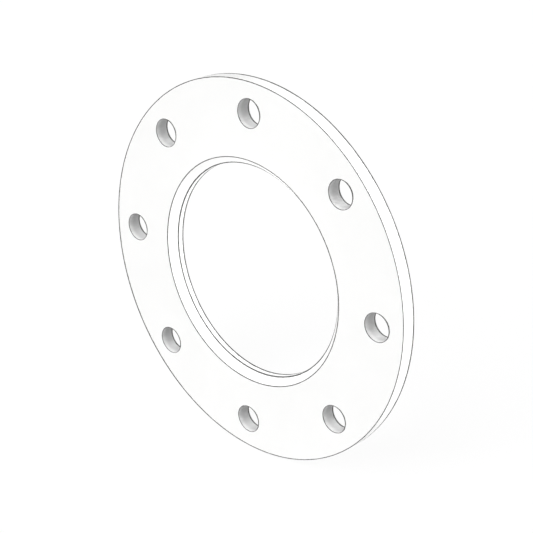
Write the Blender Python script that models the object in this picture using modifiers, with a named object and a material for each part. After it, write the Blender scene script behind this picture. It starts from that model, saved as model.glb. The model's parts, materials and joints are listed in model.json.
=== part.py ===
"""Plate flange for welding on a pipe: a flat steel ring with a bevelled bore and eight bolt holes.

The flange is one piece. It is turned to its profile, and then its bolt holes are drilled and their
edges are broken. It stands upright on its rim like a wheel: the bore axis is Y, the weld bevel opens
towards -Y, and the origin is on the bore axis halfway through the plate.

Blender 4.5. Lengths are in metres.
"""

import math

import bmesh
import bpy

# Driving dimensions: the drilling of a nominal 125 mm pipe flange for 10 or 16 bar.
OUTER_DIAMETER = 0.250
THICKNESS = 0.0096
BORE_DIAMETER = 0.1405
WELD_BEVEL = 0.005
BOLT_CIRCLE_DIAMETER = 0.210
BOLT_HOLE_DIAMETER = 0.018
BOLT_HOLE_COUNT = 8
RIM_EDGE_BREAK = 0.0004
BORE_EDGE_BREAK = 0.0003
HOLE_EDGE_BREAK = 0.0003

# How finely the round surfaces are divided.
RING_STEPS = 144
HOLE_STEPS = 36
SHARP_EDGE_ANGLE = math.radians(30)
MERGE_DISTANCE = 0.00001

# How far a drill passes the plate on each side.
DRILL_OVERRUN = 0.002

COATING_COLOUR = (0.86, 0.86, 0.85, 1.0)
COATING_ROUGHNESS = 0.42

HALF_THICKNESS = THICKNESS / 2


def clear_scene():
    for thing in list(bpy.data.objects):
        bpy.data.objects.remove(thing, do_unlink=True)


def new_collection(name):
    collection = bpy.data.collections.new(name)
    bpy.context.scene.collection.children.link(collection)
    return collection


def coating_material():
    """White coat on steel, which covers every surface of the flange."""
    material = bpy.data.materials.new("white_coated_steel")
    material.use_nodes = True
    surface = material.node_tree.nodes["Principled BSDF"]
    surface.inputs["Base Color"].default_value = COATING_COLOUR
    surface.inputs["Roughness"].default_value = COATING_ROUGHNESS
    surface.inputs["Metallic"].default_value = 0.0
    return material


def turned(name, profile, steps, collection):
    """A solid of revolution about its own Z axis.

    The profile holds (radius, height) points. It runs down the outer side, from top to bottom. A
    profile that starts and ends on the axis makes a full solid, and any other one closes into a ring.
    """
    mesh = bpy.data.meshes.new(name)
    outline = bmesh.new()
    points = [outline.verts.new((radius, 0.0, height)) for radius, height in profile]
    for start, end in zip(points, points[1:]):
        outline.edges.new((start, end))
    is_ring = profile[0][0] > 0.0
    if is_ring:
        outline.edges.new((points[-1], points[0]))
    outline.to_mesh(mesh)
    outline.free()

    solid = bpy.data.objects.new(name, mesh)
    collection.objects.link(solid)
    lathe = solid.modifiers.new("lathe", "SCREW")
    lathe.axis = "Z"
    lathe.angle = 2 * math.pi
    lathe.steps = steps
    lathe.render_steps = steps
    lathe.use_merge_vertices = True
    lathe.merge_threshold = MERGE_DISTANCE
    return solid


def plate_profile():
    """The ring's section: the bevel opens towards +Z, and the other corners are lightly broken."""
    rim = OUTER_DIAMETER / 2
    bore = BORE_DIAMETER / 2
    return [
        (rim - RIM_EDGE_BREAK, HALF_THICKNESS),
        (rim, HALF_THICKNESS - RIM_EDGE_BREAK),
        (rim, RIM_EDGE_BREAK - HALF_THICKNESS),
        (rim - RIM_EDGE_BREAK, -HALF_THICKNESS),
        (bore + BORE_EDGE_BREAK, -HALF_THICKNESS),
        (bore, BORE_EDGE_BREAK - HALF_THICKNESS),
        (bore, HALF_THICKNESS - WELD_BEVEL),
        (bore + WELD_BEVEL, HALF_THICKNESS),
    ]


def drill_profile():
    """A drill with a countersink at both faces, which leaves a broken edge at each mouth of the hole."""
    radius = BOLT_HOLE_DIAMETER / 2
    mouth = radius + HOLE_EDGE_BREAK
    wide = mouth + DRILL_OVERRUN
    end = HALF_THICKNESS + DRILL_OVERRUN
    wall_end = HALF_THICKNESS - HOLE_EDGE_BREAK
    return [
        (0.0, end),
        (wide, end),
        (radius, wall_end),
        (radius, -wall_end),
        (wide, -end),
        (0.0, -end),
    ]


def stand_up(solid):
    """Turns a solid made about Z so that its axis is Y and its top faces -Y."""
    solid.rotation_euler = (math.radians(90), 0.0, 0.0)


def place_drills(collection):
    """One drill for each bolt hole. The first hole is on +X, so the pattern sits on the centre lines."""
    for index in range(BOLT_HOLE_COUNT):
        angle = 2 * math.pi * index / BOLT_HOLE_COUNT
        drill = turned(f"bolt_hole_drill_{index + 1}", drill_profile(), HOLE_STEPS, collection)
        stand_up(drill)
        drill.location = (
            BOLT_CIRCLE_DIAMETER / 2 * math.cos(angle),
            0.0,
            BOLT_CIRCLE_DIAMETER / 2 * math.sin(angle),
        )
        drill.hide_render = True
        drill.display_type = "WIRE"


def apply_modifiers(solid):
    """Keeps the solid as its modifiers make it, so that its edges can be marked sharp."""
    graph = bpy.context.evaluated_depsgraph_get()
    made = bpy.data.meshes.new_from_object(solid.evaluated_get(graph))
    solid.modifiers.clear()
    solid.data = made


def shade_rounds(mesh):
    """Smooth shading on the round surfaces, with the corners kept sharp."""
    mesh.shade_smooth()
    mesh.set_sharp_from_angle(angle=SHARP_EDGE_ANGLE)


def flange_plate(parts, cutters, material):
    plate = turned("flange_plate", plate_profile(), RING_STEPS, parts)
    stand_up(plate)
    drilling = plate.modifiers.new("bolt_holes", "BOOLEAN")
    drilling.operation = "DIFFERENCE"
    drilling.operand_type = "COLLECTION"
    drilling.collection = cutters
    drilling.solver = "EXACT"
    apply_modifiers(plate)
    shade_rounds(plate.data)
    plate.data.materials.clear()
    plate.data.materials.append(material)
    return plate


def main():
    clear_scene()
    parts = new_collection("plate_flange")
    cutters = new_collection("drills")
    place_drills(cutters)
    flange_plate(parts, cutters, coating_material())


main()
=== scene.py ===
"""Looks of the plate flange: a white-coated steel ring, worn to dark steel along its edges.

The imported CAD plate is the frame. All sizes are measured on it, and the plate is built again around
the same sizes as a finer closed mesh, with rounded edges. Its materials are node patterns that work
in millimetres on the object's own coordinates and on one mesh attribute, the distance to the nearest
edge.

The wear is uneven round the ring, so that each edge shows as a thin line of even weight from the
camera. The floor and the sky look brighter to the camera than the light they pass on, and a hidden
lamp in the bore keeps the bore white.

Blender 4.5. Lengths are in metres unless a name or a comment says otherwise.
"""

import json
import math

import bmesh
import bpy
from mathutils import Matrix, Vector


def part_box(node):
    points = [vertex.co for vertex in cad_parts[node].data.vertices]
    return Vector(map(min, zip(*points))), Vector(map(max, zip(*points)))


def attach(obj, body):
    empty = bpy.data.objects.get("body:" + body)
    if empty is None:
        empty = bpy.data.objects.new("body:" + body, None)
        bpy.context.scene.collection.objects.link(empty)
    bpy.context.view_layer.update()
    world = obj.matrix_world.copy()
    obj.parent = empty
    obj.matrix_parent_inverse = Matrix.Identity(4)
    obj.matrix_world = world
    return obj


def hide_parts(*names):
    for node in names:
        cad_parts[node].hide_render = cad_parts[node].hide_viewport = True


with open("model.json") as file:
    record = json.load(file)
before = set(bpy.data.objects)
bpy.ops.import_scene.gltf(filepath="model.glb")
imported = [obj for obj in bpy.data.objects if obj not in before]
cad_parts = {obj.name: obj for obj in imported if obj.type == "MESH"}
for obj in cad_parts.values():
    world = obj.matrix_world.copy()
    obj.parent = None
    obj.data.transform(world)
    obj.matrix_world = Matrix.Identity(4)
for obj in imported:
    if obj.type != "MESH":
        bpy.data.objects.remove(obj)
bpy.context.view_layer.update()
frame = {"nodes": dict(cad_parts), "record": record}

NODE = "flange_plate"
MM = 0.001
AXIS = (0.0, 0.0)

# How finely one of the sectors round a bolt hole is divided. The counts follow the angles at which
# the hole's centre sees the rim, the sector's two sides and the bore.
RIM_STEPS_PER_SECTOR = 62
BORE_STEPS_PER_SECTOR = 32
SIDE_STEPS = 25
HOLE_STEPS = RIM_STEPS_PER_SECTOR + BORE_STEPS_PER_SECTOR + 2 * SIDE_STEPS
RINGS_ROUND_HOLE = 9
RING_SPACING_POWER = 1.5
LARGE_FACES_LEAD = 100

# Rounded edges.
RIM_ROUNDING = 0.15 * MM
BORE_ROUNDING = 0.12 * MM
HOLE_ROUNDING = 0.12 * MM
ROUNDING_STEPS = 4

# Wear along the edges. The mesh holds the distance to the nearest edge, counted in reaches of that
# edge's wear, over a strip on each side of the edge's rounding. The strip is wider than any reach.
EDGE_DISTANCE = "edge_distance"
EDGE_STRIP = 1.9 * MM
LONGEST_REACH = 1.5 * MM
FAR_FROM_EDGES = 10.0
HEAVY_SIDE = math.radians(210)

# Points of the CAD plate that lie this close to its front plane are on it.
ON_PLANE = 0.01 * MM

COAT_SLOT = 0
DRILLED_SLOT = 1


# ---------------------------------------------------------------- sizes, measured on the CAD plate


def distance_from_axis(point, centre=AXIS):
    """Distance to a line along Y through centre, which is an (x, z) pair."""
    return math.hypot(point[0] - centre[0], point[2] - centre[1])


def bolt_hole_centres():
    """The (x, z) centre of each bolt hole: the middle of its opening in the record."""
    centres = []
    for opening in frame["record"]["physics"]["openings"]:
        if opening["name"].startswith("bolt_hole"):
            low, high = opening["box_m"]
            centres.append(((low[0] + high[0]) / 2, (low[2] + high[2]) / 2))
    return centres


class PlateSizes:
    """What the CAD plate measures."""

    def __init__(self):
        low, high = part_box(NODE)
        points = [tuple(vertex.co) for vertex in frame["nodes"][NODE].data.vertices]
        self.front = low.y
        self.back = high.y
        self.lowest = low.z
        self.rim_radius = max(distance_from_axis(p) for p in points)
        self.bore_radius = min(distance_from_axis(p) for p in points)
        on_front = [p for p in points if abs(p[1] - self.front) < ON_PLANE]
        self.bevel_mouth_radius = min(distance_from_axis(p) for p in on_front)
        self.bevel_depth = self.bevel_mouth_radius - self.bore_radius
        self.hole_centres = bolt_hole_centres()
        self.hole_radius = min(distance_from_axis(p, self.hole_centres[0]) for p in points)


# ---------------------------------------------------------------- wear


class Wear:
    """How far the coat is rubbed through at an edge that runs round a ring.

    Before and after are the reaches on the two sides of the edge, in the order of the profile. They
    are measured along the surface from the middle of the rounding. The reach before the edge varies
    round the ring: leaning lengthens it towards the heavy side, and pinching lengthens it towards the
    heavy side and its opposite. Negative ones shorten it there. Angles go from +X towards +Z.
    """

    def __init__(self, before, after, leaning=0.0, pinching=0.0):
        self.before = before
        self.after = after
        self.leaning = leaning
        self.pinching = pinching

    def distance(self, along, angle):
        """The place along the surface, negative before the edge, as a distance in reaches."""
        if along >= 0:
            return along / self.after
        around = angle - HEAVY_SIDE
        uneven = (1 + self.pinching * math.cos(2 * around)) / (1 - self.leaning * math.cos(around))
        return -along / min(self.before * uneven, LONGEST_REACH)


RIM_FRONT_WEAR = Wear(0.54 * MM, 0.26 * MM, leaning=0.52, pinching=0.06)
RIM_BACK_WEAR = Wear(1.28 * MM, 0.35 * MM, pinching=-0.28)
BEVEL_MOUTH_WEAR = Wear(0.42 * MM, 0.37 * MM, leaning=-0.25, pinching=0.33)
BEVEL_ROOT_WEAR = Wear(0.80 * MM, 0.52 * MM, leaning=-0.88, pinching=-0.16)
BORE_BACK_WEAR = Wear(1.50 * MM, 0.35 * MM, leaning=-0.40, pinching=-0.10)
HOLE_FRONT_WEAR = Wear(0.48 * MM, 0.16 * MM, leaning=-0.38, pinching=0.35)
HOLE_BACK_WEAR = Wear(1.10 * MM, 0.35 * MM)


# ---------------------------------------------------------------- profiles


def rounded_corner(before, corner, after, radius):
    """Points of the arc that rounds a corner of a profile."""
    corner = Vector(corner)
    to_before = (Vector(before) - corner).normalized()
    to_after = (Vector(after) - corner).normalized()
    half_angle = to_before.angle(to_after) / 2
    tangent = radius / math.tan(half_angle)
    centre = corner + (to_before + to_after).normalized() * (radius / math.sin(half_angle))
    start = corner + to_before * tangent - centre
    end = corner + to_after * tangent - centre
    turn = start.angle(end)
    points = []
    for step in range(ROUNDING_STEPS + 1):
        share = step / ROUNDING_STEPS
        arm = (start * math.sin((1 - share) * turn) + end * math.sin(share * turn)) / math.sin(turn)
        points.append(centre + arm)
    return points


def rounded_profile(corners, radius, wear):
    """A profile of (radius, y, along, wear) with its inner corners rounded.

    The first and the last corner only give directions. Each inner corner has its Wear, and along is
    the place on the surface, measured from the middle of the corner's rounding. A strip for the wear
    lies on each side of a rounding.
    """
    profile = []
    for before, corner, after, edge in zip(corners, corners[1:], corners[2:], wear):
        arc = rounded_corner(before, corner, after, radius)
        half_length = (arc[1] - arc[0]).length * ROUNDING_STEPS / 2
        strip_end = half_length + EDGE_STRIP
        toward_before = (Vector(before) - Vector(corner)).normalized()
        toward_after = (Vector(after) - Vector(corner)).normalized()
        profile.append((*(arc[0] + toward_before * EDGE_STRIP), -strip_end, edge))
        for step, point in enumerate(arc):
            profile.append((*point, (2 * step / ROUNDING_STEPS - 1) * half_length, edge))
        profile.append((*(arc[-1] + toward_after * EDGE_STRIP), strip_end, edge))
    return profile


def rim_profile(sizes):
    """From the front face over the rim to the back face."""
    inner = sizes.rim_radius - 2 * EDGE_STRIP
    corners = [
        (inner, sizes.front),
        (sizes.rim_radius, sizes.front),
        (sizes.rim_radius, sizes.back),
        (inner, sizes.back),
    ]
    return rounded_profile(corners, RIM_ROUNDING, [RIM_FRONT_WEAR, RIM_BACK_WEAR])


def bore_profile(sizes):
    """From the front face down the weld bevel and through the bore to the back face."""
    outer = sizes.bevel_mouth_radius + 2 * EDGE_STRIP
    corners = [
        (outer, sizes.front),
        (sizes.bevel_mouth_radius, sizes.front),
        (sizes.bore_radius, sizes.front + sizes.bevel_depth),
        (sizes.bore_radius, sizes.back),
        (outer, sizes.back),
    ]
    wear = [BEVEL_MOUTH_WEAR, BEVEL_ROOT_WEAR, BORE_BACK_WEAR]
    return rounded_profile(corners, BORE_ROUNDING, wear)


def hole_profile(sizes):
    """From the front face through a bolt hole to the back face."""
    outer = sizes.hole_radius + 2 * EDGE_STRIP
    corners = [
        (outer, sizes.front),
        (sizes.hole_radius, sizes.front),
        (sizes.hole_radius, sizes.back),
        (outer, sizes.back),
    ]
    return rounded_profile(corners, HOLE_ROUNDING, [HOLE_FRONT_WEAR, HOLE_BACK_WEAR])


# ---------------------------------------------------------------- the plate's mesh


def coat_everywhere(strip):
    return COAT_SLOT


def coat_outside_hole(strip):
    """The coat ends in the rounding at each mouth, and the wall between the roundings is bare."""
    first_wall_strip = ROUNDING_STEPS + 1
    last_wall_strip = first_wall_strip + 2
    return DRILLED_SLOT if first_wall_strip <= strip <= last_wall_strip else COAT_SLOT


def arc_of(loop, sector, steps):
    """The part of a loop that bounds one sector, with both its ends."""
    return [loop[(sector * steps + step) % len(loop)] for step in range(steps + 1)]


class PlateMesh:
    """Builds the closed mesh out of loops of vertices that share their points."""

    def __init__(self):
        self.mesh = bmesh.new()
        self.edge_distance = self.mesh.verts.layers.float.new(EDGE_DISTANCE)

    def vertex(self, x, y, z, distance):
        vertex = self.mesh.verts.new((x, y, z))
        vertex[self.edge_distance] = distance
        return vertex

    def circle(self, profile_point, centre, steps, start):
        """The loop that a point of a profile sweeps round an axis along Y through centre."""
        radius, y, along, wear = profile_point
        loop = []
        for step in range(steps):
            angle = start + 2 * math.pi * step / steps
            x = centre[0] + radius * math.cos(angle)
            z = centre[1] + radius * math.sin(angle)
            loop.append(self.vertex(x, y, z, wear.distance(along, angle)))
        return loop

    def bridge(self, one, other, slot):
        """Quads between two loops with the same number of vertices."""
        count = len(one)
        for index in range(count):
            following = (index + 1) % count
            face = self.mesh.faces.new((one[index], one[following], other[following], other[index]))
            face.material_index = slot

    def turned(self, profile, centre, steps, start, slot_of):
        """Sweeps a profile round centre, and returns its first and its last loop."""
        loops = [self.circle(point, centre, steps, start) for point in profile]
        for strip, (one, other) in enumerate(zip(loops, loops[1:])):
            self.bridge(one, other, slot_of(strip))
        return loops[0], loops[-1]

    def line(self, start, end):
        """The vertices between two others, which are left out, on one side of a sector."""
        points = [start.co.lerp(end.co, step / SIDE_STEPS) for step in range(1, SIDE_STEPS)]
        return [self.vertex(*point, FAR_FROM_EDGES) for point in points]

    def sector(self, boundary, hole_loop):
        """Fills the flat face between a bolt hole and the boundary of the sector round it."""
        inner = hole_loop
        for ring in range(1, RINGS_ROUND_HOLE):
            share = (ring / RINGS_ROUND_HOLE) ** RING_SPACING_POWER
            outer = [
                self.vertex(*near.co.lerp(far.co, share), FAR_FROM_EDGES)
                for near, far in zip(hole_loop, boundary)
            ]
            self.bridge(inner, outer, COAT_SLOT)
            inner = outer
        self.bridge(inner, boundary, COAT_SLOT)

    def flat_face(self, rim_loop, bore_loop, hole_loops):
        """One flat face of the plate: a sector round each bolt hole, between the rim and the bore."""
        count = len(hole_loops)
        sides = [
            self.line(rim_loop[index * RIM_STEPS_PER_SECTOR], bore_loop[index * BORE_STEPS_PER_SECTOR])
            for index in range(count)
        ]
        for index, hole_loop in enumerate(hole_loops):
            rim_arc = arc_of(rim_loop, index, RIM_STEPS_PER_SECTOR)
            bore_arc = arc_of(bore_loop, index, BORE_STEPS_PER_SECTOR)
            far_side = sides[(index + 1) % count]
            near_side = sides[index]
            boundary = rim_arc + far_side + bore_arc[::-1] + near_side[::-1]
            self.sector(boundary, hole_loop)

    def finished(self, name):
        bmesh.ops.recalc_face_normals(self.mesh, faces=self.mesh.faces)
        data = bpy.data.meshes.new(name)
        self.mesh.to_mesh(data)
        self.mesh.free()
        data.shade_smooth()
        return data


def build_plate(sizes):
    plate = PlateMesh()
    count = len(sizes.hole_centres)
    start = -math.pi / count
    rim_steps = RIM_STEPS_PER_SECTOR * count
    bore_steps = BORE_STEPS_PER_SECTOR * count
    rim_front, rim_back = plate.turned(rim_profile(sizes), AXIS, rim_steps, start, coat_everywhere)
    bore_front, bore_back = plate.turned(bore_profile(sizes), AXIS, bore_steps, start, coat_everywhere)
    fronts = []
    backs = []
    for centre in sizes.hole_centres:
        outward = math.atan2(centre[1], centre[0])
        first = outward - math.pi * RIM_STEPS_PER_SECTOR / HOLE_STEPS
        front, back = plate.turned(hole_profile(sizes), centre, HOLE_STEPS, first, coat_outside_hole)
        fronts.append(front)
        backs.append(back)
    plate.flat_face(rim_front, bore_front, fronts)
    plate.flat_face(rim_back, bore_back, backs)
    flange = bpy.data.objects.new("coated_flange_plate", plate.finished("coated_flange_plate"))
    bpy.context.scene.collection.objects.link(flange)
    flat_faces_stay_flat = flange.modifiers.new("weighted_normals", "WEIGHTED_NORMAL")
    flat_faces_stay_flat.weight = LARGE_FACES_LEAD
    return flange


# ---------------------------------------------------------------- nodes


SOCKETS = {
    "base_color": "Base Color",
    "metallic": "Metallic",
    "roughness": "Roughness",
    "normal": "Normal",
    "specular": "Specular IOR Level",
    "emission_color": "Emission Color",
    "emission_strength": "Emission Strength",
}


def grey(value, warmth=0.0):
    return (value, value, value * (1 - warmth), 1.0)


def for_camera(tree, seen, otherwise):
    """A number that is one thing for what the camera sees, and another for the light passed on."""
    path = tree.nodes.new("ShaderNodeLightPath")
    choice = tree.nodes.new("ShaderNodeMapRange")
    choice.inputs["To Min"].default_value = otherwise
    choice.inputs["To Max"].default_value = seen
    tree.links.new(path.outputs["Is Camera Ray"], choice.inputs["Value"])
    return choice.outputs["Result"]


class Nodes:
    """Short ways to add the nodes of one material and join them."""

    def __init__(self, name):
        self.material = bpy.data.materials.new(name)
        self.material.use_nodes = True
        self.tree = self.material.node_tree
        self.surface = self.tree.nodes["Principled BSDF"]

    def feed(self, socket, value):
        """Links an output to an input, or sets the input to a plain value."""
        if isinstance(value, bpy.types.NodeSocket):
            self.tree.links.new(value, socket)
        else:
            socket.default_value = value

    def surface_is(self, **values):
        for name, value in values.items():
            self.feed(self.surface.inputs[SOCKETS[name]], value)

    def millimetres(self):
        """The object's own coordinates, in millimetres."""
        place = self.tree.nodes.new("ShaderNodeTexCoord")
        scaled = self.tree.nodes.new("ShaderNodeVectorMath")
        scaled.operation = "SCALE"
        scaled.inputs["Scale"].default_value = 1 / MM
        self.tree.links.new(place.outputs["Object"], scaled.inputs[0])
        return scaled.outputs[0]

    def along_bore(self, place):
        """The part of a place that runs along the bore's axis."""
        apart = self.tree.nodes.new("ShaderNodeSeparateXYZ")
        self.tree.links.new(place, apart.inputs[0])
        return apart.outputs["Y"]

    def noise(self, place, size_mm, detail=2.0):
        """Smooth noise from 0 to 1, whose patches are about size_mm across."""
        texture = self.tree.nodes.new("ShaderNodeTexNoise")
        texture.inputs["Scale"].default_value = 1 / size_mm
        texture.inputs["Detail"].default_value = detail
        self.tree.links.new(place, texture.inputs["Vector"])
        return texture.outputs["Fac"]

    def math(self, operation, one, other=0.0):
        node = self.tree.nodes.new("ShaderNodeMath")
        node.operation = operation
        self.feed(node.inputs[0], one)
        self.feed(node.inputs[1], other)
        return node.outputs[0]

    def ramp(self, value, source, target=(0.0, 1.0)):
        """Maps the source range of value smoothly on the target range, and holds its ends."""
        node = self.tree.nodes.new("ShaderNodeMapRange")
        node.interpolation_type = "SMOOTHSTEP"
        self.feed(node.inputs["Value"], value)
        node.inputs["From Min"].default_value, node.inputs["From Max"].default_value = source
        node.inputs["To Min"].default_value, node.inputs["To Max"].default_value = target
        return node.outputs["Result"]

    def mix(self, share, one, other, kind="FLOAT"):
        """A number between two others."""
        node = self.tree.nodes.new("ShaderNodeMix")
        node.data_type = kind
        self.feed(node.inputs["Factor"], share)
        self.feed(node.inputs["A"], one)
        self.feed(node.inputs["B"], other)
        return node.outputs["Result"]

    def blend(self, share, one, other):
        """A colour between two others."""
        return self.mix(share, one, other, "RGBA")

    def attribute(self, name):
        node = self.tree.nodes.new("ShaderNodeAttribute")
        node.attribute_name = name
        return node.outputs["Fac"]

    def bump(self, height, depth_mm):
        node = self.tree.nodes.new("ShaderNodeBump")
        node.inputs["Strength"].default_value = 1.0
        node.inputs["Distance"].default_value = depth_mm * MM
        self.tree.links.new(height, node.inputs["Height"])
        return node.outputs["Normal"]


# ---------------------------------------------------------------- materials

# Most of a noise lies between these values, and nearly all of it between the wide ones.
NOISE_RANGE = (0.3, 0.7)
WIDE_NOISE_RANGE = (0.2, 0.8)

# The coat. Sizes and depths are in millimetres, and the clouds go between the two whites.
CLOUD_SIZE = 45.0
CLOUD_DETAIL = 3.0
CLOUD_DARK = grey(0.85, warmth=0.008)
CLOUD_LIGHT = grey(0.89, warmth=0.004)
GLOSS_PATCH_SIZE = 12.0
COAT_ROUGHNESS = (0.36, 0.46)
COAT_SPECULAR = 0.5
PEEL_SIZE = 1.6
PEEL_DETAIL = 1.5
PEEL_DEPTH = 0.02

# The worn edges. The reach varies along them, and the wear fades out over a part of it. Patch sizes
# are in millimetres.
RAGGED_SIZE = 3.0
RAGGED_DETAIL = 3.0
RAGGED_REACH = (0.90, 1.10)
WEAR_FADE = (-0.10, 0.10)
WORN_PATCH_SIZE = 5.0
WORN_DARK = grey(0.07)
WORN_LIGHT = grey(0.10)
WORN_ROUGHNESS = 0.6
WORN_SPECULAR = 0.15

# The drilled steel. Sizes and depths are in millimetres, and depths go inward from the front face.
SMEAR_SIZE = 3.0
SMEAR_DETAIL = 3.0
STEEL_DARK = grey(0.60)
STEEL_LIGHT = grey(0.70)
STEEL_METALLIC = 0.3
STEEL_ROUGHNESS = (0.38, 0.52)
STEEL_SPECULAR = 0.5
DRILL_FEED = 0.7
DRILL_WOBBLE = 1.2
DRILL_WOBBLE_SIZE = 6.0
DRILL_RING_DEPTH = 0.012
# Painted light: between these depths the hole wall is lightened towards the coat's white, lightest at
# the front face, standing in for the light that reaches the wall near the mouth.
MOUTH_LIGHT_DEPTHS = (1.0, 4.2)
MOUTH_LIGHT_COVER = 0.75
MOUTH_LIGHT_COLOUR = grey(0.87)


def edge_wear(nodes, place):
    """How far the surface is worn, from 0 to 1, and the colour of the dark steel that shows there."""
    reach = nodes.ramp(nodes.noise(place, RAGGED_SIZE, RAGGED_DETAIL), NOISE_RANGE, RAGGED_REACH)
    inside = nodes.math("SUBTRACT", reach, nodes.attribute(EDGE_DISTANCE))
    worn = nodes.ramp(inside, WEAR_FADE)
    worn_colour = nodes.blend(nodes.noise(place, WORN_PATCH_SIZE), WORN_DARK, WORN_LIGHT)
    return worn, worn_colour


def coat_material():
    """Satin white powder coat, rubbed through to dark steel along every edge."""
    nodes = Nodes("white_powder_coat")
    place = nodes.millimetres()
    clouds = nodes.noise(place, CLOUD_SIZE, CLOUD_DETAIL)
    peel = nodes.noise(place, PEEL_SIZE, PEEL_DETAIL)
    gloss = nodes.noise(place, GLOSS_PATCH_SIZE)
    coat_colour = nodes.blend(clouds, CLOUD_DARK, CLOUD_LIGHT)
    coat_roughness = nodes.ramp(gloss, WIDE_NOISE_RANGE, COAT_ROUGHNESS)
    worn, worn_colour = edge_wear(nodes, place)
    nodes.surface_is(
        base_color=nodes.blend(worn, coat_colour, worn_colour),
        roughness=nodes.mix(worn, coat_roughness, WORN_ROUGHNESS),
        specular=nodes.mix(worn, COAT_SPECULAR, WORN_SPECULAR),
        normal=nodes.bump(peel, PEEL_DEPTH),
    )
    return nodes.material


def drill_rings(nodes, place, depth):
    """The height of the rings that the drill's feed leaves, which waver a little."""
    wobble = nodes.math("MULTIPLY", nodes.noise(place, DRILL_WOBBLE_SIZE), DRILL_WOBBLE)
    wavering_depth = nodes.math("ADD", depth, wobble)
    return nodes.math("SINE", nodes.math("MULTIPLY", wavering_depth, 2 * math.pi / DRILL_FEED))


def drilled_material(sizes):
    """Bare steel in the bolt holes, with the rings that the drill's feed leaves.

    Painted light: near the front mouth the wall's colour is lightened towards the coat's white and made
    less metallic, standing in for the extra light that reaches the wall by the opening. The edge at the
    back is worn dark.
    """
    nodes = Nodes("drilled_steel")
    place = nodes.millimetres()
    depth = nodes.math("SUBTRACT", nodes.along_bore(place), sizes.front / MM)
    smears = nodes.noise(place, SMEAR_SIZE, SMEAR_DETAIL)
    steel = nodes.blend(smears, STEEL_DARK, STEEL_LIGHT)
    # Painted light near the mouth: the wall's colour lightens and its metal dulls towards the front
    # face.
    painted_mouth_light = nodes.ramp(depth, MOUTH_LIGHT_DEPTHS, (MOUTH_LIGHT_COVER, 0.0))
    mouth_light_metallic = STEEL_METALLIC * (1 - MOUTH_LIGHT_COVER)
    metallic = nodes.ramp(depth, MOUTH_LIGHT_DEPTHS, (mouth_light_metallic, STEEL_METALLIC))
    worn, worn_colour = edge_wear(nodes, place)
    nodes.surface_is(
        base_color=nodes.blend(worn, nodes.blend(painted_mouth_light, steel, MOUTH_LIGHT_COLOUR), worn_colour),
        metallic=nodes.mix(worn, metallic, 0.0),
        specular=nodes.mix(worn, STEEL_SPECULAR, WORN_SPECULAR),
        roughness=nodes.ramp(smears, NOISE_RANGE, STEEL_ROUGHNESS),
        normal=nodes.bump(drill_rings(nodes, place, depth), DRILL_RING_DEPTH),
    )
    return nodes.material


# ---------------------------------------------------------------- studio

# The floor and the sky: how bright they look to the camera, and what they pass on to the flange.
FLOOR_RADIUS = 40.0
FLOOR_STEPS = 96
FLOOR_GLOW = 0.90
FLOOR_SEEN = 0.09
FLOOR_BOUNCE = 0.43
SKY_SEEN = 1.0
SKY_LIGHT = 0.4

# Soft lamps far away: name, azimuth, elevation, apparent width in degrees, and the brightness they
# give a white surface that faces them. The rim's lamp is narrow, so that it clears the floor.
LAMPS = (
    ("key", 5.0, 42.0, 40.0, 0.93),
    ("rim_fill", 92.0, 4.5, 8.0, 0.95),
    ("back_key", 190.0, 14.0, 40.0, 0.60),
)
BORE_LAMP_BRIGHTNESS = 0.46
BORE_LAMP_RADIUS = 0.02
BORE_LAMP_RISE = 0.03

CAMERA_AZIMUTH = 45.0
CAMERA_ELEVATION = 25.0
CAMERA_DISTANCE_IN_DIAMETERS = 3.634
SENSOR_WIDTH_MM = 36.0
LENS_MM = 98.1
FRAME_SHIFT = (0.0340, 0.0133)


def floor(sizes):
    """A wide pale disc at the foot of the flange.

    It glows towards the camera, so its shadows are faint. It passes on little light, so the shade
    inside the bolt holes stays.
    """
    data = bpy.data.meshes.new("studio_floor")
    disc = bmesh.new()
    bmesh.ops.create_circle(disc, cap_ends=True, segments=FLOOR_STEPS, radius=FLOOR_RADIUS)
    disc.to_mesh(data)
    disc.free()
    ground = bpy.data.objects.new("studio_floor", data)
    ground.location.z = sizes.lowest
    bpy.context.scene.collection.objects.link(ground)
    nodes = Nodes("pale_floor")
    nodes.surface_is(
        base_color=for_camera(nodes.tree, FLOOR_SEEN, FLOOR_BOUNCE),
        emission_color=grey(1.0),
        emission_strength=for_camera(nodes.tree, FLOOR_GLOW, 0.0),
        roughness=1.0,
        specular=0.0,
    )
    data.materials.append(nodes.material)


def sky():
    """A plain white surrounding."""
    world = bpy.data.worlds.new("studio_sky")
    world.use_nodes = True
    background = world.node_tree.nodes["Background"]
    background.inputs["Color"].default_value = grey(1.0)
    strength = for_camera(world.node_tree, SKY_SEEN, SKY_LIGHT)
    world.node_tree.links.new(strength, background.inputs["Strength"])
    bpy.context.scene.world = world


def direction(azimuth, elevation):
    """Unit vector from the flange to a place seen at these angles. Azimuth 0 is in front, towards -Y."""
    around = math.radians(azimuth)
    up = math.radians(elevation)
    return Vector((math.sin(around) * math.cos(up), -math.cos(around) * math.cos(up), math.sin(up)))


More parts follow.
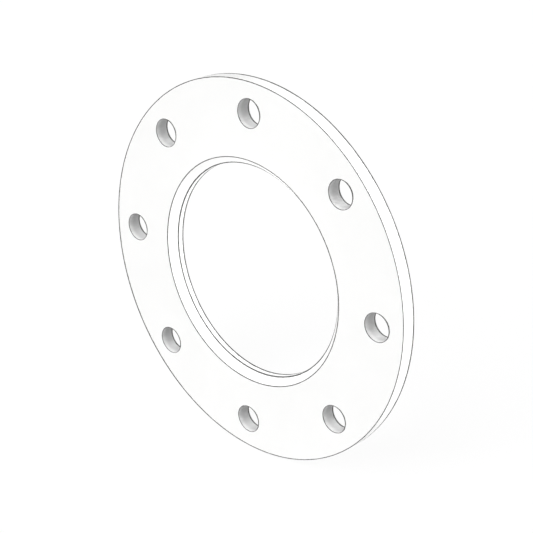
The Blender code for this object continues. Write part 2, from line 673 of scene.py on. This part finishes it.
def look_from(thing, target, back, distance):
    """Puts a thing at a distance from the target, in the direction back, and turns it to the target."""
    thing.location = target + back * distance
    thing.rotation_mode = "QUATERNION"
    thing.rotation_quaternion = (-back).to_track_quat("-Z", "Y")


def lamp(name, azimuth, elevation, width, brightness):
    """A distant lamp that is wide enough for soft shadows."""
    sun = bpy.data.lights.new(name, "SUN")
    sun.energy = brightness * math.pi
    sun.angle = math.radians(width)
    light = bpy.data.objects.new(name, sun)
    bpy.context.scene.collection.objects.link(light)
    look_from(light, Vector((0.0, 0.0, 0.0)), direction(azimuth, elevation), 1.0)


def bore_lamp(sizes):
    """A small soft lamp in the bore, which the camera doesn't see. It lights the bore and its bevel."""
    bulb = bpy.data.lights.new("bore_lamp", "POINT")
    bulb.energy = BORE_LAMP_BRIGHTNESS * (2 * math.pi * sizes.bore_radius) ** 2
    bulb.shadow_soft_size = BORE_LAMP_RADIUS
    light = bpy.data.objects.new("bore_lamp", bulb)
    light.location.z = BORE_LAMP_RISE
    light.visible_camera = False
    bpy.context.scene.collection.objects.link(light)


def camera(sizes):
    """The camera looks at the centre of the front face, which the shift moves off the frame's middle."""
    lens = bpy.data.cameras.new("camera")
    lens.sensor_width = SENSOR_WIDTH_MM
    lens.lens = LENS_MM
    lens.shift_x, lens.shift_y = FRAME_SHIFT
    view = bpy.data.objects.new("camera", lens)
    bpy.context.scene.collection.objects.link(view)
    front_centre = Vector((0.0, sizes.front, 0.0))
    distance = CAMERA_DISTANCE_IN_DIAMETERS * 2 * sizes.rim_radius
    look_from(view, front_centre, direction(CAMERA_AZIMUTH, CAMERA_ELEVATION), distance)
    bpy.context.scene.camera = view


# ---------------------------------------------------------------- the scene

sizes = PlateSizes()

flange = build_plate(sizes)
flange.data.materials.append(coat_material())
flange.data.materials.append(drilled_material(sizes))
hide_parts(NODE)
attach(flange, "root")

floor(sizes)
sky()
for settings in LAMPS:
    lamp(*settings)
bore_lamp(sizes)
camera(sizes)
bpy.context.scene.view_settings.view_transform = "Standard"
